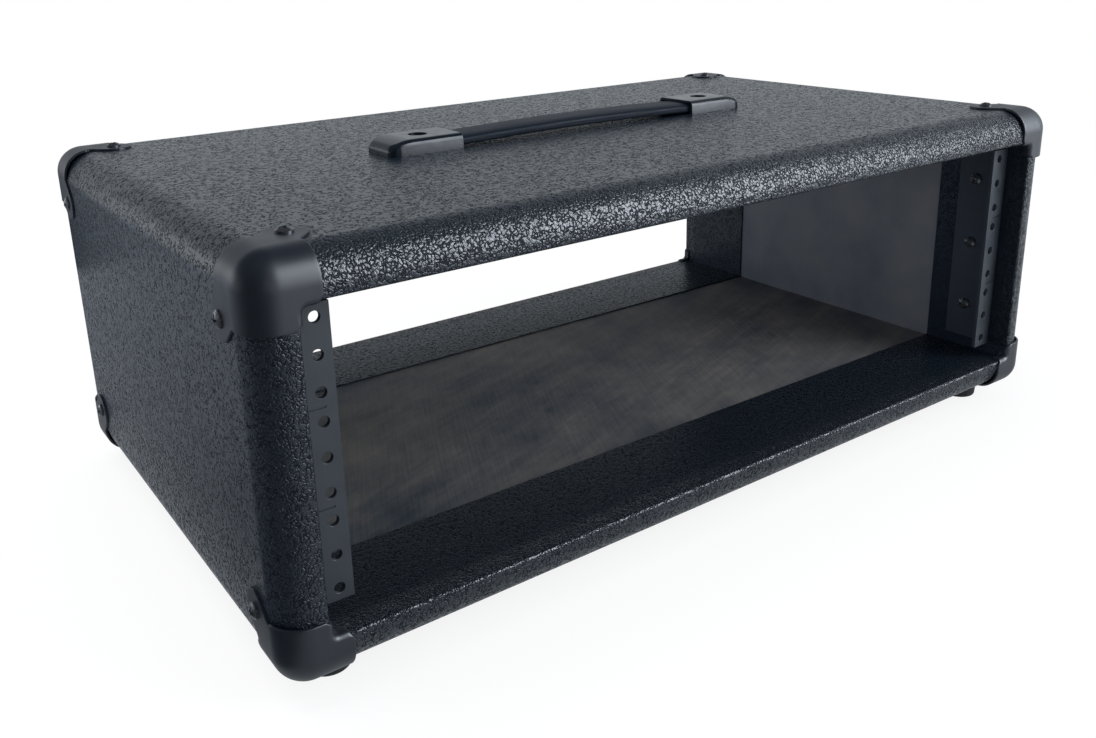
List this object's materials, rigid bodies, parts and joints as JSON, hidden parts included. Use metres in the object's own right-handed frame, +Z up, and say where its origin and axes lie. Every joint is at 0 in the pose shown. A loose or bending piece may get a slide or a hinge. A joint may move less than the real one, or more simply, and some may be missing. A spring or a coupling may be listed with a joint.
{
  "type": "desktop rack",
  "caption": "Tabletop equipment rack: an open-ended plywood sleeve covered in grained vinyl, with corner protectors, a strap handle, rubber feet and punched rails inside the front opening.",
  "frame": {"origin": "on the floor under the middle of the case, at the soles of the feet", "axes": "+X to the right seen from the front, +Y to the rear, +Z up; the rails and the front opening face -Y"},
  "size_m": [0.5334, 0.3114, 0.2042],
  "materials": {
    "plywood": "stained black, brush-marked",
    "vinyl": "pebble-grained, low sheen",
    "corner": "satin",
    "rail": "powder-coated, fine texture",
    "screw_black": "blackened",
    "cap": "semi-gloss",
    "strap": "smooth, low sheen",
    "foot": "matt",
    "zinc": "zinc plated"
  },
  "bodies": {
    "root": {"top_board": "plywood", "bottom_board": "plywood", "left_board": "plywood", "right_board": "plywood", "vinyl_covering": "vinyl", "left_rack_rail": "rail", "right_rack_rail": "rail", "rail_screws": "screw_black", "corner_front_top_left": "corner", "corner_front_top_right": "corner", "corner_front_bottom_left": "corner", "corner_front_bottom_right": "corner", "corner_rear_top_left": "corner", "corner_rear_top_right": "corner", "corner_rear_bottom_left": "corner", "corner_rear_bottom_right": "corner", "corner_screws": "screw_black", "handle_cap_left": "cap", "handle_cap_right": "cap", "handle_strap": "strap", "handle_screws": "screw_black", "handle_tee_nuts": "zinc", "foot_front_left": "foot", "foot_front_right": "foot", "foot_rear_left": "foot", "foot_rear_right": "foot", "foot_washers": "zinc", "foot_screws": "zinc"}
  },
  "joints": []
}
